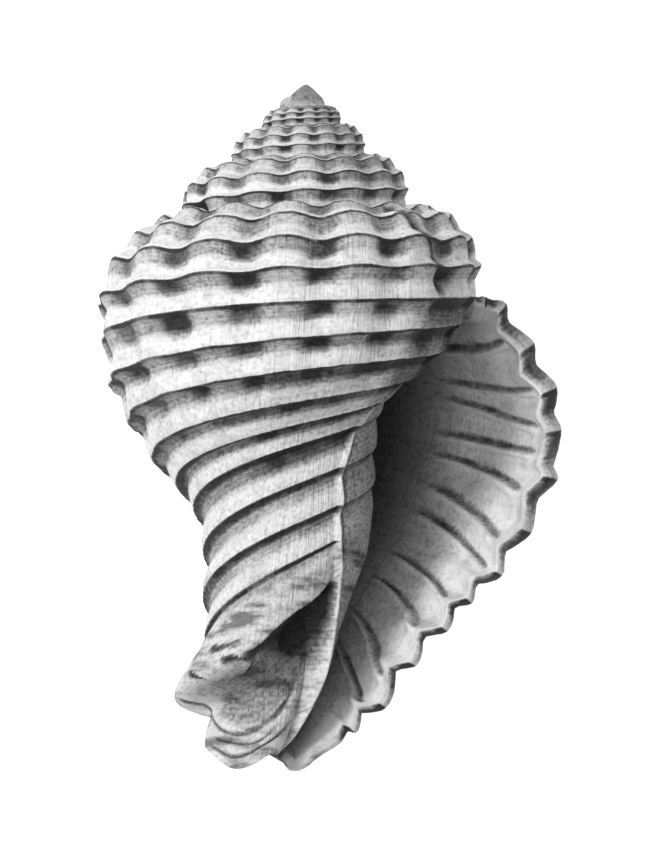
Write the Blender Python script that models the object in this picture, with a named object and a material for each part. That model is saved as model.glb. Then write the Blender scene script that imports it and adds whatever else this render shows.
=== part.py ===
"""A corded and ribbed whelk shell, right-handed, lying on its back with the aperture up.

The shell grew as one piece, so it is one closed solid.  Its outside is a strip wound round
the coil's axis: rows are the spiral cords, columns are growth stages counted back from the
lip.  The strip goes over the lip's edge into the aperture, where the inner face of the outer
lip and the callused column enclose the hollow.
"""
import math

import bmesh
import bpy
import numpy as np

MM = 0.001

# Coil.  Lengths are in millimetres, angles in degrees back from the lip's edge.
TURN_RADIUS = 1.70        # how much wider the coil gets in one turn
TURN_DEPTH = 1.70         # how much further from the apex it gets in one turn
COIL_SKEW = 0.0475        # the coil drops this much per millimetre towards the lip's side
WHORLS = 4.5              # turns of sculptured shell below the smooth first whorls
APEX_DEPTH = 0.3          # top of the smooth dome below the coil's own apex
DOME = ((0.98, 0.92), (0.55, 0.48))

# The axis bows a little: the spire and the neck both lean to the left of the middle whorls.
SPIRE_LEAN = 0.33
SPIRE_END = 13.0
NECK_LEAN = 0.13
NECK_START = 19.2
NECK_EASE = 4.35

# Spiral cords from the suture down: distance from the axis and depth below the apex
# at the lip, half a turn back, and a full turn back.
CORDS = (
    ("sutural cord", (12.8, 15.4), (10.9, 10.7), (8.6, 8.7)),
    ("upper shoulder cord", (14.2, 15.8), (12.9, 12.0), (10.2, 9.2)),
    ("lower shoulder cord", (16.3, 18.5), (14.6, 14.0), (11.7, 10.8)),
    ("shoulder keel", (18.2, 21.6), (15.4, 16.6), (12.4, 12.8)),
    ("main keel", (18.9, 24.6), (15.0, 19.2), (12.0, 15.2)),
    ("first cord of the base", (19.1, 28.1), (14.2, 22.3), (11.1, 17.1)),
    ("second cord of the base", (17.7, 32.1), (12.5, 24.9), (10.0, 19.1)),
    ("third cord of the base", (16.0, 35.3), (10.4, 27.4), (8.0, 21.0)),
    ("fourth cord of the base", (14.1, 37.4), (8.4, 29.1), (6.3, 22.4)),
    ("top cord of the neck", (12.6, 39.5), (6.9, 30.8), (5.6, 23.6)),
    ("second cord of the neck", (10.6, 42.1), (5.8, 34.0), (5.5, 26.1)),
    ("third cord of the neck", (8.8, 45.2), (5.4, 37.4), (5.7, 28.7)),
    ("fourth cord of the neck", (6.8, 47.1), (4.9, 40.5), (5.8, 31.1)),
)
MAIN_KEEL = 5             # the next whorl's suture lies on this cord
LAST_CORD = len(CORDS)

# Siphonal band below the cords, at the lip, a quarter turn back, a half, three quarters,
# at the edge of the inner lip, on the crest of that edge, and on the column's right side.
BAND_ANGLES = (0, 90, 180, 270)
BAND = (
    ("band", (5.3, 48.3), (5.8, 44.7), (5.1, 41.9), (5.7, 38.0),
     (5.5, 34.9), (5.65, 34.9), (5.8, 33.8)),
    ("band keel", (4.3, 49.3), (5.8, 46.4), (6.5, 45.0), (5.4, 40.9),
     (5.0, 36.4), (5.45, 36.4), (5.3, 36.8)),
    ("hollow", (3.6, 49.8), (4.7, 47.2), (4.2, 45.7), (1.9, 42.4),
     (3.2, 39.9), (5.15, 39.9), (4.7, 40.0)),
    ("foot of the hollow", (3.2, 50.0), (4.0, 47.8), (3.7, 46.4), (2.9, 47.2),
     (3.1, 43.5), (4.5, 43.5), (4.15, 43.3)),
    ("canal wall", (3.1, 50.05), (3.6, 48.1), (3.9, 47.6), (3.3, 48.7),
     (2.3, 47.3), (2.7, 47.3), (2.8, 47.0)),
    ("canal rim", (3.05, 50.1), (3.3, 48.3), (3.8, 48.6), (3.5, 49.9),
     (1.4, 48.7), (1.4, 48.7), (1.45, 49.1)),
)
LAST_ROW = LAST_CORD + len(BAND)

# Angle at which each row passes under the callus of the inner lip.
CALLUS_ROW = 5.4
CALLUS_ANGLES = {5.4: 356, 6: 354, 7: 350, 8: 342, 9: 328, 10: 314, 11: 306, 12: 308, 13: 310,
                 14: 313, 15: 318, 16: 325, 17: 330, 18: 335, 19: 340}
CALLUS_BEND = 250
CALLUS_STEP = 2.0
CALLUS_LIFT = 0.25

# Relief
GROOVE_DEPTH = 0.65       # between two cords at the lip; it shrinks with the whorl
GROOVE_UPPER = 0.16       # share of the spacing taken by a cord's steep lower side
GROOVE_LOWER = 0.30       # and by its gentler upper side
RIB_HEIGHT = 0.055        # share of the radius
RIB_WAVE = 0.50           # how far the cords sag between two ribs, at the lip
RIB_PER_DEGREE = 0.04284
RIB_SLOWING = 0.214e-5
RIB_CREST_ANGLE = 262.0

# Hollow
LIP_EDGE = 0.25
LIP_ROWS = (0, 1, 2, 3, 6, 8, 13, 16, 19)
LIP_TURN = (0.2, 0.5, 0.8, 1.25, 1.25, 0.8, 0.7, 0.4, 0.2)
LIP_TURN_ANGLE = 6
WALL = 1.2
HOLLOW_ANGLES = (0, 4, 12, 28, 55, 90, 125, 160, 195)
FLOOR_ANGLES = (0, 10, 25, 50, 90, 140, 200, 260)
FLOOR_ROWS = (19, 19, 18, 16, 14, 13, 12.5, 12)
FLOOR_FROM_ROW = 9
CANAL_END = (0.3, 48.4)

# Resting pose: the shell lies on its back on a few worn crests of the body whorl.
REST_ROLL = 3.0           # about the coil's axis, towards the lip
REST_PITCH = 4.0          # then nose down
REST_FLAT = 0.4           # crests lower than this are worn flat

# Mesh
COLUMNS_PER_TURN = 72
DEGREES = 360 / COLUMNS_PER_TURN


def smooth_curve(at, stations, values):
    """Cubic curve through the values, level with their own slopes at each station."""
    stations = np.asarray(stations, float)
    values = np.asarray(values, float)
    slopes = np.gradient(values, stations)
    span = np.clip(np.searchsorted(stations, at, side="right") - 1, 0, len(stations) - 2)
    width = stations[span + 1] - stations[span]
    t = np.clip((at - stations[span]) / width, 0, 1)
    rise = t * t * (3 - 2 * t)
    start = values[span] * (1 - rise) + values[span + 1] * rise
    bow = slopes[span] * t * (1 - t) ** 2 - slopes[span + 1] * t * t * (1 - t)
    return start + bow * width


def cord_track(row, angle, part):
    """Radius (part 0) or depth (part 1) of a cord at an angle back from the lip."""
    stations = [0, 180, 360]
    logs = [math.log(place[part]) for place in CORDS[row - 1][1:4]]
    growth = math.log((TURN_RADIUS, TURN_DEPTH)[part])
    for half_turn in range(1, 14):
        stations.append(360 + 180 * half_turn)
        logs.append(logs[2] - growth * half_turn / 2)
    return np.exp(smooth_curve(angle, stations, logs))


def band_track(row, angle, part):
    """The same for a row of the siphonal band, which ends at the inner lip."""
    places = BAND[row - LAST_CORD - 1][1:6]
    stations = BAND_ANGLES + (CALLUS_ANGLES[row],)
    return smooth_curve(angle, stations, [place[part] for place in places])


def row_track(row, angle, part):
    if row == 0:
        return cord_track(MAIN_KEEL, angle + 360, part)
    if row <= LAST_CORD:
        return cord_track(row, angle, part)
    return band_track(row, angle, part)


def envelope(row, angle):
    """Radius and depth of the smooth surface through the cords' crests."""
    below = np.clip(np.floor(row).astype(int), 0, LAST_ROW - 1)
    t = row - below
    places = []
    for part in (0, 1):
        tracks = np.stack([row_track(k, angle, part) for k in range(LAST_ROW + 1)])
        column = np.arange(len(row))
        p0 = tracks[np.maximum(below - 1, 0), column]
        p1 = tracks[below, column]
        p2 = tracks[below + 1, column]
        p3 = tracks[np.minimum(below + 2, LAST_ROW), column]
        first = (p2 - p0) / 2
        last = (p3 - p1) / 2
        rise = t * t * (3 - 2 * t)
        places.append(p1 * (1 - rise) + p2 * rise
                      + first * t * (1 - t) ** 2 - last * t * t * (1 - t))
    return places[0], places[1]


def outward(row, angle):
    """Unit direction out of the whorl, in its own half-plane."""
    step = 0.05
    r0, d0 = envelope(np.maximum(row - step, 0), angle)
    r1, d1 = envelope(np.minimum(row + step, LAST_ROW), angle)
    length = np.hypot(r1 - r0, d1 - d0) + 1e-9
    return (d1 - d0) / length, -(r1 - r0) / length


def fade(value, full, gone):
    """1 up to full, 0 from gone on, with a smooth change between them."""
    t = np.clip((value - full) / (gone - full), 0, 1)
    return 1 - t * t * (3 - 2 * t)


def rib_phase(angle):
    count = RIB_PER_DEGREE * angle - RIB_SLOWING * angle ** 2
    at_crest = RIB_PER_DEGREE * RIB_CREST_ANGLE - RIB_SLOWING * RIB_CREST_ANGLE ** 2
    return 2 * math.pi * (count - at_crest)


def rib_strength(row, angle):
    down_the_whorl = fade(row, 6, 10) * (1 - fade(row, 0, 1))
    return down_the_whorl * (1 - fade(angle, 0, 20)) * fade(angle, 1350, 1600)


def groove(row):
    """0 on a cord's crest, 1 on the floor of the groove below it."""
    t = row - np.floor(row)
    from_upper = np.clip(t / GROOVE_UPPER, 0, 1)
    from_lower = np.clip((1 - t) / GROOVE_LOWER, 0, 1)
    nearest = np.minimum(from_upper, from_lower)
    return 1 - (1 - nearest) ** 2


def size_of_whorl(angle):
    return TURN_RADIUS ** (-angle / 360)


def outer_point(row, angle):
    """Radius and depth of the sculptured outer surface."""
    r, d = envelope(row, angle)
    out_r, out_d = outward(row, angle)
    size = size_of_whorl(angle)
    rib = rib_strength(row, angle)
    wave = np.cos(rib_phase(angle))
    depth = GROOVE_DEPTH * size * groove(row) * fade(row, LAST_CORD, LAST_CORD + 0.6)
    depth = depth * (1 - fade(row, 0, 1.2)) * fade(angle, 1400, 1600)
    depth = depth + RIB_HEIGHT * r * rib * (1 - wave) / 2
    depth = depth + lip_turn(row) * (1 - np.clip(angle / LIP_TURN_ANGLE, 0, 1)) ** 2
    return r - depth * out_r, d - depth * out_d + RIB_WAVE * size * rib * (1 - wave) / 2


def lip_turn(row):
    """How far the lip's edge is turned in from the whorl's full width."""
    return np.interp(row, LIP_ROWS, LIP_TURN)


def callus_angle(row):
    rows = sorted(CALLUS_ANGLES)
    return np.interp(row, [MAIN_KEEL] + rows, [360] + [CALLUS_ANGLES[k] for k in rows])


def column_angle(row, column):
    """Angle of a column, drawn back near the inner lip to end where the callus starts."""
    angle = column * DEGREES
    squeezed = CALLUS_BEND + (angle - CALLUS_BEND) * (callus_angle(row) - CALLUS_BEND) / (
        360 - CALLUS_BEND)
    inside = (angle > CALLUS_BEND) & (angle <= 360) & (row > MAIN_KEEL)
    return np.where(inside, squeezed, angle)


def column_point(row, angle):
    """Radius and depth of the callused column, from the inner lip's edge inwards."""
    edge = callus_angle(row)
    share = np.clip((angle - edge) / (360 - edge + 1e-6), 0, 1)
    size_r = TURN_RADIUS ** (-np.maximum(angle - 360, 0) / 360)
    size_d = TURN_DEPTH ** (-np.maximum(angle - 360, 0) / 360)
    outer_r, outer_d = envelope(np.minimum(row, LAST_CORD), np.minimum(angle, 360))
    band_rows = range(LAST_CORD, LAST_ROW + 1)
    start = envelope(np.array([float(LAST_CORD)]), np.array([float(CALLUS_ANGLES[LAST_CORD])]))
    finish = envelope(np.array([float(LAST_CORD)]), np.array([360.0]))
    places = []
    for part, outer in ((0, outer_r), (1, outer_d)):
        edge_places = [start[part][0]] + [line[6][part] for line in BAND]
        right_places = [finish[part][0]] + [line[7][part] for line in BAND]
        at_edge = smooth_curve(row, band_rows, edge_places)
        at_right = smooth_curve(row, band_rows, right_places)
        band = at_edge * (1 - share) + at_right * share
        places.append(np.where(row > LAST_CORD, band, outer))
    lift = CALLUS_LIFT * fade(row, LAST_CORD + 1, LAST_CORD + 3) * (1 - fade(row, 7, 10))
    return (places[0] + lift) * size_r, places[1] * size_d


def floor_row(row, angle):
    """Row on the outer lip's inner face, drawn up from the canal further inside."""
    lowest = np.interp(angle, FLOOR_ANGLES, FLOOR_ROWS)
    share = (lowest - FLOOR_FROM_ROW) / (LAST_ROW - FLOOR_FROM_ROW)
    return np.where(row > FLOOR_FROM_ROW, FLOOR_FROM_ROW + (row - FLOOR_FROM_ROW) * share, row)


def inner_point(row, angle):
    """Radius and depth of the outer lip's inner face."""
    row = floor_row(row, angle)
    r, d = envelope(row, angle)
    out_r, out_d = outward(row, angle)
    thick = WALL + (lip_turn(row) + LIP_EDGE - WALL) * fade(angle, 0, 15)
    thick = thick + RIB_HEIGHT * r * rib_strength(row, angle)
    relief = GROOVE_DEPTH * groove(row) * fade(row, LAST_CORD, LAST_CORD + 0.6)
    thick = thick + relief * fade(angle, 0, 40)
    thick = thick * (1 - 0.45 * (1 - fade(row, 14, 19)))
    return r - thick * out_r, d - thick * out_d


def place(r, d, angle):
    """Point in the shell's own frame: axis up, aperture towards -Y, lip towards +X."""
    below = d - NECK_START
    lean = -NECK_LEAN * (np.sqrt(below ** 2 + NECK_EASE ** 2) + below) / 2
    turn = np.radians(angle)
    side = r * np.cos(turn)
    lean = lean - SPIRE_LEAN * fade(d, 0, SPIRE_END)
    return np.stack([side + lean, r * np.sin(turn), -(d + COIL_SKEW * side)], axis=-1)


class Surface:
    """Vertices and triangles; chains of vertices are joined pairwise by their keys."""

    def __init__(self):
        self.points = []
        self.triangles = []

    def chain(self, points):
        first = len(self.points)
        self.points.extend(points.tolist())
        return list(range(first, len(self.points)))

    def bridge(self, chain_a, keys_a, chain_b, keys_b):
        """Triangles between two chains, facing to the left when going along chain_a."""
        i = j = 0
        while i < len(chain_a) - 1 or j < len(chain_b) - 1:
            end_a = i == len(chain_a) - 1
            end_b = j == len(chain_b) - 1
            if end_b or (not end_a and keys_a[i + 1] <= keys_b[j + 1]):
                self.add(chain_a[i], chain_a[i + 1], chain_b[j])
                i += 1
            else:
                self.add(chain_a[i], chain_b[j + 1], chain_b[j])
                j += 1

    def fan(self, centre, ring):
        for a, b in zip(ring, ring[1:]):
            self.add(centre, a, b)

    def add(self, a, b, c):
        if len({a, b, c}) == 3:
            self.triangles.append((a, b, c))


def spire_rows(turn):
    if turn < 1:
        return [0, 1, 1.5, 2, 2.5, 3, 3.3, 3.75, 4, 4.25, 4.75, MAIN_KEEL]
    if turn < 2:
        return [0, 1, 1.5, 2, 2.5, 3, 3.5, 4, 4.5, MAIN_KEEL]
    if turn < 3:
        return [0, 1, 2, 2.5, 3, 3.5, 4, MAIN_KEEL]
    return [0, 2, 3, 4, MAIN_KEEL]


BASE_ROWS = [CALLUS_ROW, 5.7, 6, 6.25, 6.7, 7, 7.5, 8, 8.5, 9, 9.5, 10, 10.5, 11, 11.5, 12, 12.5,
             13, 13.6, 14, 15, 16, 17, 18, 19]
HOLLOW_ROWS = [0, 2, 2.5, 3, 3.5, 4, 4.5, 5, 5.5, 6, 6.5, 7, 7.5, 8, 8.5, 9, 9.5, 10, 11,
               12, 13, 14, 15, 16, 17, 18, 19]
CALLUS_ROWS = [CALLUS_ROW, 6, 7, 8, 9, 10, 11, 12, 13, 14, 15, 16, 17, 18, 19]


def build_outside(shell):
    """Wind the outer strip from the lip back to the smooth first whorls."""
    last_column = int(WHORLS * COLUMNS_PER_TURN)
    columns = []
    for column in range(last_column + 1):
        rows = list(spire_rows(column // COLUMNS_PER_TURN))
        if column > last_column - 3:
            rows = [0, MAIN_KEEL]
        if column <= COLUMNS_PER_TURN:
            rows = list(spire_rows(0)) + BASE_ROWS
        rows = np.array(rows, float)
        angle = column_angle(rows, np.full(len(rows), float(column)))
        r, d = outer_point(rows, angle)
        columns.append((shell.chain(place(r, d, angle)), list(rows)))
    for column in range(last_column + 1 - COLUMNS_PER_TURN):
        chain = columns[column][0]
        older, older_rows = columns[column + COLUMNS_PER_TURN]
        chain[0] = older[older_rows.index(MAIN_KEEL)]
    for newer, older in zip(columns, columns[1:]):
        chain_new, rows_new = newer
        chain_old, rows_old = older
        if len(rows_old) < len(rows_new) and MAIN_KEEL in rows_old and rows_old[-1] == MAIN_KEEL:
            keep = rows_new.index(MAIN_KEEL) + 1
            chain_new, rows_new = chain_new[:keep], rows_new[:keep]
        shell.bridge(chain_new, rows_new, chain_old, rows_old)
    return columns


def build_dome(shell, columns):
    """Close the top with the smooth first whorls."""
    last = len(columns) - 1
    turn = [columns[k][0][0] for k in range(last - COLUMNS_PER_TURN, last + 1)]
    keys = list(range(COLUMNS_PER_TURN + 1))
    end_chain = columns[last][0]
    steps = end_chain[1:-1]
    outer = turn + steps
    outer_keys = keys + [COLUMNS_PER_TURN] * len(steps)
    angles = np.array([(last - COLUMNS_PER_TURN + k) * DEGREES for k in keys[:-1]])
    ring_keys = keys
    for r, d in DOME:
        ring = shell.chain(place(np.full(len(angles), r), np.full(len(angles), d), angles))
        ring.append(ring[0])
        closed_outer = outer + [outer[0]]
        closed_keys = outer_keys + [COLUMNS_PER_TURN]
        shell.bridge(closed_outer, closed_keys, ring, ring_keys)
        outer, outer_keys = ring[:-1], keys[:-1]
    top = shell.chain(place(np.zeros(1), np.full(1, APEX_DEPTH), np.zeros(1)))[0]
    shell.fan(top, outer + [outer[0]])


def hollow_columns(shell):
    """The outer lip's inner face and the callused column, column by column."""
    callus_rows = np.array(CALLUS_ROWS, float)
    lip, column_side = [], []
    edge = callus_angle(callus_rows) + CALLUS_STEP
    for share in (0, 0.5):
        angle = edge + (360 - edge) * share
        r, d = column_point(callus_rows, angle)
        column_side.append(shell.chain(place(r, d, angle)))
    for back in HOLLOW_ANGLES:
        rows = spire_rows(0) + BASE_ROWS if back < LIP_TURN_ANGLE else HOLLOW_ROWS
        angle = np.full(len(rows), float(back))
        r, d = inner_point(np.array(rows, float), angle)
        lip.append((shell.chain(place(r, d, angle)), rows))
        angle = np.full(len(callus_rows), 360.0 + back)
        r, d = column_point(callus_rows, angle)
        column_side.append(shell.chain(place(r, d, angle)))
    return lip, column_side


def build_hollow(shell, columns):
    lip, column_side = hollow_columns(shell)
    callus_keys = list(CALLUS_ROWS)
    for far, near in zip(lip, [columns[0]] + lip):
        shell.bridge(far[0], far[1], near[0], near[1])
    lip = [chain for chain, rows in lip]

    start = columns[COLUMNS_PER_TURN]
    base_chain = start[0]
    base_rows = start[1]
    first = base_rows.index(CALLUS_ROW)
    shell.bridge(base_chain[first:], base_rows[first:], column_side[0], callus_keys)
    for near, far in zip(column_side, column_side[1:]):
        shell.bridge(near, callus_keys, far, callus_keys)

    # Top corner of the aperture, under the suture.
    corner = base_chain[base_rows.index(MAIN_KEEL):first + 1]
    corner = corner + [side[0] for side in column_side[:3]]
    shell.fan(lip[0][0], corner)
    deep = list(zip(lip, column_side[2:]))
    for near, far in zip(deep, deep[1:]):
        shell.add(near[0][0], near[1][0], far[1][0])
        shell.add(near[0][0], far[1][0], far[0][0])
        shell.add(near[1][-1], near[0][-1], far[0][-1])
        shell.add(near[1][-1], far[0][-1], far[1][-1])

    # End of the hollow, deep inside.
    shell.bridge(column_side[-1], callus_keys, lip[-1], HOLLOW_ROWS)

    # Underside of the canal.
    rim = [chain[-1] for chain, rows in columns[:COLUMNS_PER_TURN + 1]]
    rim = rim + [side[-1] for side in column_side[:3]] + [lip[0][-1], rim[0]]
    centre = place(np.full(1, CANAL_END[0]), np.full(1, CANAL_END[1]), np.full(1, 180.0))
    shell.fan(shell.chain(centre)[0], rim[::-1])


def shell_material():
    material = bpy.data.materials.new("chalky_shell")
    material.use_nodes = True
    shader = material.node_tree.nodes["Principled BSDF"]
    shader.inputs["Base Color"].default_value = (0.66, 0.65, 0.63, 1)
    shader.inputs["Roughness"].default_value = 0.75
    shader.inputs["Metallic"].default_value = 0
    return material


def build_surface():
    """Points and triangles of the whole shell, upright in its own frame."""
    shell = Surface()
    columns = build_outside(shell)
    build_dome(shell, columns)
    build_hollow(shell, columns)
    used = sorted({k for triangle in shell.triangles for k in triangle})
    index = {old: new for new, old in enumerate(used)}
    points = np.array([shell.points[k] for k in used])
    return points, [tuple(index[k] for k in triangle) for triangle in shell.triangles]


def lay_down(points):
    """Turn the shell on its back, with its lowest crests REST_FLAT below z = 0."""
    roll = math.radians(REST_ROLL)
    pitch = math.radians(REST_PITCH - 90)
    about_axis = np.array([[math.cos(roll), -math.sin(roll), 0],
                           [math.sin(roll), math.cos(roll), 0], [0, 0, 1]])
    onto_back = np.array([[1, 0, 0], [0, math.cos(pitch), -math.sin(pitch)],
                          [0, math.sin(pitch), math.cos(pitch)]])
    points = points @ (onto_back @ about_axis).T
    low, high = points.min(axis=0), points.max(axis=0)
    return points - [(low[0] + high[0]) / 2, (low[1] + high[1]) / 2, low[2] + REST_FLAT]


def wear_flat(mesh):
    """Cut off what lies below z = 0 and close the small flats that this leaves."""
    bm = bmesh.new()
    bm.from_mesh(mesh)
    cut = bmesh.ops.bisect_plane(bm, geom=bm.verts[:] + bm.edges[:] + bm.faces[:], dist=0.01 * MM,
                                 plane_co=(0, 0, 0), plane_no=(0, 0, -1), clear_outer=True)
    edges = [item for item in cut["geom_cut"] if isinstance(item, bmesh.types.BMEdge)]
    flats = bmesh.ops.holes_fill(bm, edges=edges, sides=0)["faces"]
    bmesh.ops.triangulate(bm, faces=flats)
    bm.to_mesh(mesh)
    bm.free()


def main():
    for old in list(bpy.data.objects):
        bpy.data.objects.remove(old)
    points, faces = build_surface()
    mesh = bpy.data.meshes.new("shell")
    mesh.from_pydata((MM * lay_down(points)).tolist(), [], faces)
    wear_flat(mesh)
    mesh.materials.append(shell_material())
    mesh.shade_smooth()
    mesh.set_sharp_from_angle(angle=math.radians(40))
    body = bpy.data.objects.new("shell", mesh)
    bpy.context.scene.collection.objects.link(body)


main()
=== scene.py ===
"""The looks of a corded and ribbed whelk shell that lies on its back, seen from above.

The fine surface follows the same coil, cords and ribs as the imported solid, with the small
relief that the solid leaves out: threads, growth lines, lirae, callus and the ragged band.
"""
import math

import bpy
import numpy as np
from mathutils import Matrix, Vector


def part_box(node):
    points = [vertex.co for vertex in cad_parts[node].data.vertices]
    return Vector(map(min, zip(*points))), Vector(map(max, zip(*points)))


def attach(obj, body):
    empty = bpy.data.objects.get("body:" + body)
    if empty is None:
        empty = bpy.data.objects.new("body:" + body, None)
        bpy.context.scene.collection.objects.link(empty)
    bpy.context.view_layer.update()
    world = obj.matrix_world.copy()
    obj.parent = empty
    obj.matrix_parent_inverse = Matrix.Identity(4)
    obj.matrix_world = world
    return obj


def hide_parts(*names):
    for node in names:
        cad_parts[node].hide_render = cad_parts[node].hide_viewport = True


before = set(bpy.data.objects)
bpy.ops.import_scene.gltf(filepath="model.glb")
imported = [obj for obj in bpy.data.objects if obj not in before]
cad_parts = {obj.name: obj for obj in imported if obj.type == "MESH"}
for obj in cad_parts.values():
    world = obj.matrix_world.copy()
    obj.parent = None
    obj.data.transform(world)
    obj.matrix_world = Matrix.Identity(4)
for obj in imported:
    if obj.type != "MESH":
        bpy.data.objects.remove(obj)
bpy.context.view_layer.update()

MM = 0.001

# Coil.  Lengths are in millimetres, angles in degrees back from the lip's edge.
TURN_RADIUS = 1.70
TURN_DEPTH = 1.70
COIL_SKEW = 0.0475
WHORLS = 4.5
APEX_DEPTH = 0.3
DOME = ((1.22, 1.30), (0.94, 1.02), (0.70, 0.78), (0.46, 0.57), (0.22, 0.40))
SPIRE_LEAN = 0.33
SPIRE_END = 13.0
NECK_LEAN = 0.13
NECK_START = 19.2
NECK_EASE = 4.35

# Spiral cords from the suture down: distance from the axis and depth below the apex
# at the lip, half a turn back, and a full turn back.
CORDS = (
    ("sutural cord", (12.8, 15.4), (10.9, 10.7), (8.6, 8.7)),
    ("upper shoulder cord", (14.2, 15.8), (12.9, 12.0), (10.2, 9.2)),
    ("lower shoulder cord", (16.3, 18.5), (14.6, 14.0), (11.7, 10.8)),
    ("shoulder keel", (18.2, 21.6), (15.4, 16.6), (12.4, 12.8)),
    ("main keel", (18.9, 24.6), (15.0, 19.2), (12.0, 15.2)),
    ("first cord of the base", (19.1, 28.1), (14.2, 22.3), (11.1, 17.1)),
    ("second cord of the base", (17.7, 32.1), (12.5, 24.9), (10.0, 19.1)),
    ("third cord of the base", (16.0, 35.3), (10.4, 27.4), (8.0, 21.0)),
    ("fourth cord of the base", (14.1, 37.4), (8.4, 29.1), (6.3, 22.4)),
    ("top cord of the neck", (12.6, 39.5), (6.9, 30.8), (5.6, 23.6)),
    ("second cord of the neck", (10.6, 42.1), (5.8, 34.0), (5.5, 26.1)),
    ("third cord of the neck", (8.8, 45.2), (5.4, 37.4), (5.7, 28.7)),
    ("fourth cord of the neck", (6.8, 47.1), (4.9, 40.5), (5.8, 31.1)),
)
MAIN_KEEL = 5
LAST_CORD = len(CORDS)

# Siphonal band below the cords, at the lip, a quarter turn back, a half, three quarters,
# at the edge of the inner lip, on the crest of that edge, and on the column's right side.
BAND_ANGLES = (0, 90, 180, 270)
BAND = (
    ("band", (5.4, 48.35), (5.8, 44.7), (5.1, 41.9), (5.7, 38.0),
     (5.5, 34.9), (5.65, 34.9), (5.8, 33.8)),
    ("band keel", (4.3, 49.2), (5.8, 46.4), (6.5, 45.0), (5.4, 40.9),
     (5.0, 36.4), (5.45, 36.4), (5.3, 36.8)),
    ("hollow", (3.6, 49.9), (4.7, 47.2), (4.2, 45.7), (1.9, 42.4),
     (3.2, 39.9), (5.15, 39.9), (4.7, 40.0)),
    ("foot of the hollow", (2.95, 50.2), (4.0, 47.8), (3.7, 46.4), (2.9, 47.2),
     (3.1, 43.5), (4.5, 43.5), (4.15, 43.3)),
    ("canal wall", (2.35, 50.1), (3.6, 48.1), (3.9, 47.6), (3.3, 48.7),
     (2.3, 47.3), (2.7, 47.3), (2.8, 47.0)),
    ("canal rim", (1.9, 49.6), (3.3, 48.3), (3.8, 48.6), (3.5, 49.9),
     (1.4, 48.7), (1.4, 48.7), (1.45, 49.1)),
)
LAST_ROW = LAST_CORD + len(BAND)

CALLUS_ROW = 5.4
CALLUS_ANGLES = {5.4: 356, 6: 354, 7: 350, 8: 342, 9: 328, 10: 314, 11: 306, 12: 308, 13: 310,
                 14: 313, 15: 318, 16: 325, 17: 330, 18: 335, 19: 340}
CALLUS_BEND = 250
CALLUS_LIFT = 0.25
CALLUS_LIFT_ROWS = ((7, 10), (14, 16))
CALLUS_SHOWS = 0.6  # share of the notches that shows through the callus
RIDGE_AT = 1.6  # degrees from the inner lip's edge
RIDGE_WIDTH = 1.3
RIDGE_HEIGHT = 0.35

# Notches below the cords: how far down to the next cord the corner lies (0 to 1) and how
# deep it is there, first at the lip, then further back, and how much the wall bulges below.
NOTCHES = (
    (0.50, 0.15, 0.50, 0.15, 1.0),
    (0.50, 0.25, 0.50, 0.60, 1.0),
    (0.37, 0.82, 0.64, 0.72, 1.0),
    (0.39, 0.80, 0.84, 0.74, 1.0),
    (0.60, 0.60, 0.50, 0.70, 1.0),
    (0.78, 0.60, 0.60, 0.65, 0.9),
    (0.45, 0.90, 0.34, 0.85, 0.9),
    (0.57, 0.96, 0.28, 0.90, 1.1),
    (0.60, 0.93, 0.25, 0.85, 1.2),
    (0.39, 0.80, 0.24, 0.85, 1.3),
    (0.47, 1.10, 0.27, 1.00, 1.6),
    (0.30, 1.10, 0.30, 1.00, 1.6),
    (0.55, 1.00, 0.30, 0.95, 1.6),
    (0.15, 0.50, 0.12, 0.45, 1.5),
)
NOTCH_LIP_END = 60
NOTCH_BACK_START = 130
NOTCH_END = (1400, 1600)  # angles over which the notches fade out on the first whorls
CREST_ROUNDING = 0.22  # of the underside and the wall, near a cord's crest
CORNER_ROUNDING = 0.16

# Axial ribs.  The cords pass over the interspaces higher than the pits between them.
RIB_HEIGHT = 0.055  # share of the radius
RIB_ON_CREST = 0.45
RIB_IN_PIT = 1.35
RIB_PER_DEGREE = 0.04284
RIB_SLOWING = 0.214e-5
RIB_CREST_ANGLE = 262.0
RIB_ROWS = ((0, 1), (6, 10))  # over which the ribs fade in, and over which they fade out
RIB_ANGLES = ((0, 20), (1350, 1600))
PIT_SHARPNESS = 1.8
PIT_SPAN = ((0.04, 0.2), (0.5, 0.95))  # of the way down to the next cord
WAVE_ROWS = (0, 1, 3, 4, 5, 6, 7, 9, 11)
WAVES = (0.30, 0.36, 0.42, 0.34, 0.08, 0.28, 0.30, 0.12, 0.0)
# How marked the pits below each cord are, from the suture down: in general, and then one by
# one in seven pits in a row that face the viewer on the last whorl, where they differ most.
PITS = (
    (0.15, 0.1, 0.2, 0.1, 0.2, 0.1, 0.2, 0.2),
    (0.25, 0.1, 0.2, 0.1, 0.2, 0.1, 0.3, 0.2),
    (0.35, 0.2, 0.2, 0.2, 0.3, 0.2, 0.3, 0.4),
    (0.55, 0.2, 0.3, 0.5, 0.9, 0.9, 0.8, 0.6),
    (0.75, 0.3, 0.4, 0.8, 1.0, 0.3, 0.9, 0.6),
    (0.85, 0.3, 0.7, 0.8, 0.9, 1.0, 0.8, 1.0),
    (0.85, 0.4, 0.6, 1.0, 0.7, 0.8, 0.8, 0.8),
    (0.85, 0.4, 1.0, 1.0, 0.5, 0.8, 0.8, 0.8),
    (0.70, 0.8, 0.7, 0.5, 0.8, 0.6, 0.6, 0.6),
    (0.40, 0.4, 0.2, 0.5, 0.3, 0.4, 0.3, 0.3),
)
PITS_BEFORE_FRONT = 3     # how many of the seven come before the pit numbered 0

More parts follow.
